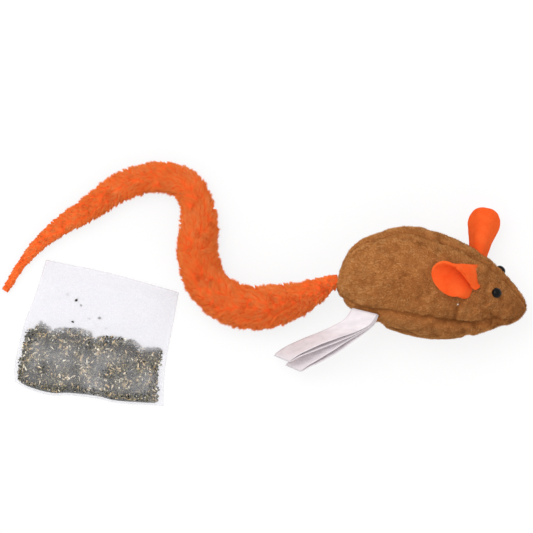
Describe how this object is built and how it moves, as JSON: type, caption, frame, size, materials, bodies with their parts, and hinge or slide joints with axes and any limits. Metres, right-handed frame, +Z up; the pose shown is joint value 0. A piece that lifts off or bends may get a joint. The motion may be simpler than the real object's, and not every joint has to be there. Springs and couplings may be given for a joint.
{
  "type": "catnip mouse toy",
  "caption": "Stuffed plush mouse for cats, lying on its flank, with felt ears, bead eyes, a long curved fur tail, a belly pocket under a flap and a flat sachet of catnip leaf.",
  "frame": {"origin": "middle of the flattened patch of the left flank that the mouse lies on, on the table's surface", "axes": "+X towards the nose end, along the whole object; +Y towards the mouse's back; +Z straight up from the table"},
  "size_m": [0.2755, 0.1294, 0.0573],
  "materials": {
    "brown_plush": "short pile polyester plush, brown",
    "orange_fur": "longer pile fake fur, orange",
    "orange_felt": "brushed felt, orange",
    "satin": "woven satin tape, white",
    "lining": "plain cotton lining, tan",
    "fibre_fill": "loose polyester fibre, white",
    "loop_tape": "looped nylon tape, dark brown",
    "hook_tape": "hooked nylon tape, dark brown",
    "eye_bead": "polished black",
    "eye_washer": "moulded, off-white",
    "nonwoven": "thin heat-sealed nonwoven, white",
    "dried_leaf": "crushed dried leaf and stem, grey-green"
  },
  "bodies": {
    "mouse": {"side_panel_left": "brown_plush", "side_panel_right": "brown_plush", "belly_panel": "brown_plush", "body_stuffing": "fibre_fill", "catnip_pocket": "lining", "belly_loop_strip": "loop_tape", "eye_left": "eye_bead", "eye_right": "eye_bead", "eye_washer_left": "eye_washer", "eye_washer_right": "eye_washer"},
    "tail": {"tail_cover": "orange_fur", "tail_filling": "fibre_fill"},
    "left_ear": {"ear_left": "orange_felt"},
    "right_ear": {"ear_right": "orange_felt"},
    "labels": {"sewn_label": "satin", "care_label": "satin"},
    "flap": {"belly_flap": "brown_plush", "flap_hook_strip": "hook_tape"},
    "sachet": {"sachet_top_sheet": "nonwoven", "sachet_bottom_sheet": "nonwoven", "catnip_leaf": "dried_leaf"}
  },
  "joints": [
    {"name": "tail_swing", "type": "hinge", "parent": "mouse", "child": "tail", "pos_m": [-0.04925, 0.00424, 0.01872], "axis": [0, 0, 1], "range_deg": [-60, 0]},
    {"name": "left_ear_lift", "type": "hinge", "parent": "mouse", "child": "left_ear", "pos_m": [0.02669, 0.02013, 0.02327], "axis": [0.9945, -0.1045, 0], "range_deg": [0, 50], "stiffness_Nm_per_rad": 0.002},
    {"name": "right_ear_lift", "type": "hinge", "parent": "mouse", "child": "right_ear", "pos_m": [0.02688, 0.01002, 0.04143], "axis": [-0.2109, 0.9727, -0.097], "range_deg": [0, 60], "stiffness_Nm_per_rad": 0.002},
    {"name": "label_lift", "type": "hinge", "parent": "mouse", "child": "labels", "pos_m": [-0.03294, -0.01114, 0.0326], "axis": [-0.8666, 0.2159, -0.4498], "range_deg": [0, 60], "stiffness_Nm_per_rad": 0.002},
    {"name": "flap_open", "type": "hinge", "parent": "mouse", "child": "flap", "pos_m": [-0.00264, -0.02512, 0.01848], "axis": [-0.9781, 0.2079, 0], "range_deg": [0, 110]},
    {"name": "sachet_lift", "type": "slide", "parent": "mouse", "child": "sachet", "axis": [0, 0, 1], "range_m": [0, 0.08]}
  ]
}
